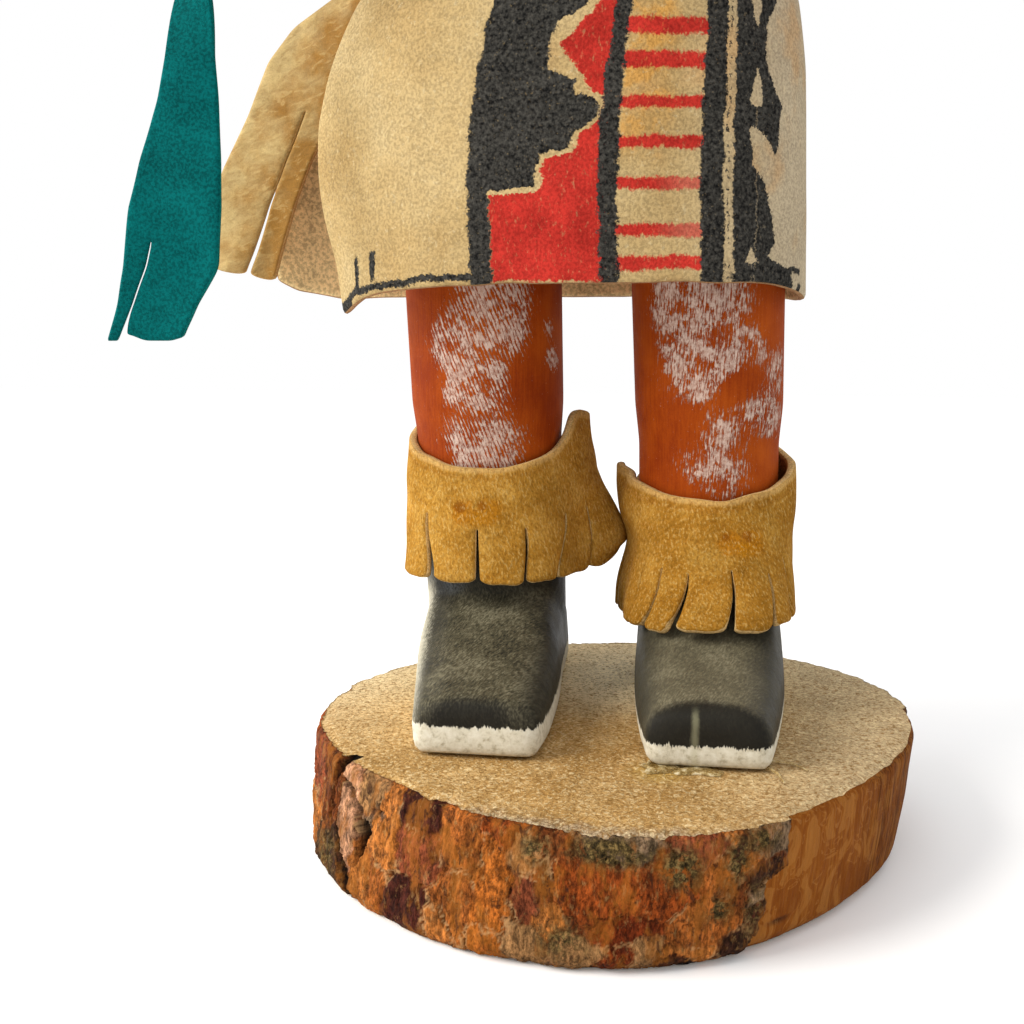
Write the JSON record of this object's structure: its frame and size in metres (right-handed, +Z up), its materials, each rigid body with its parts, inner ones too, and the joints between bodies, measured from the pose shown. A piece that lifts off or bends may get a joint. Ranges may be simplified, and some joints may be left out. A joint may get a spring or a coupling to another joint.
{
  "type": "kachina doll",
  "caption": "Carved and painted standing figure in a leather kilt, sash and fringed ankle cuffs, on a slice of log with bark",
  "frame": {"origin": "centre of the log slice's flat underside", "axes": "+Z up through the figure, the doll faces -Y, its right hand is towards -X"},
  "size_m": [0.1228, 0.0859, 0.2573],
  "materials": {
    "log": "rough bark, sawn top",
    "painted_wood": "satin paint, dry-brushed",
    "mask_paint": "satin paint",
    "ruff": "shaggy",
    "feather": "soft",
    "cream_suede": "suede nap, painted design",
    "sash_leather": "smooth, fine wrinkles",
    "teal_suede": "suede nap",
    "tan_suede": "suede nap",
    "brown_leather": "satin"
  },
  "bodies": {
    "root": {"base": "log", "carved_body": "painted_wood", "right_arm": "painted_wood", "left_arm": "painted_wood", "mask_head": "mask_paint", "neck_ruff": "ruff", "crest_feather_1": "feather", "crest_feather_2": "feather", "crest_feather_3": "feather", "kilt": "cream_suede", "belt": "brown_leather", "hip_sash": "sash_leather", "streamer": "teal_suede", "right_ankle_cuff": "tan_suede", "left_ankle_cuff": "tan_suede", "right_armband": "brown_leather", "left_armband": "brown_leather"}
  },
  "joints": []
}
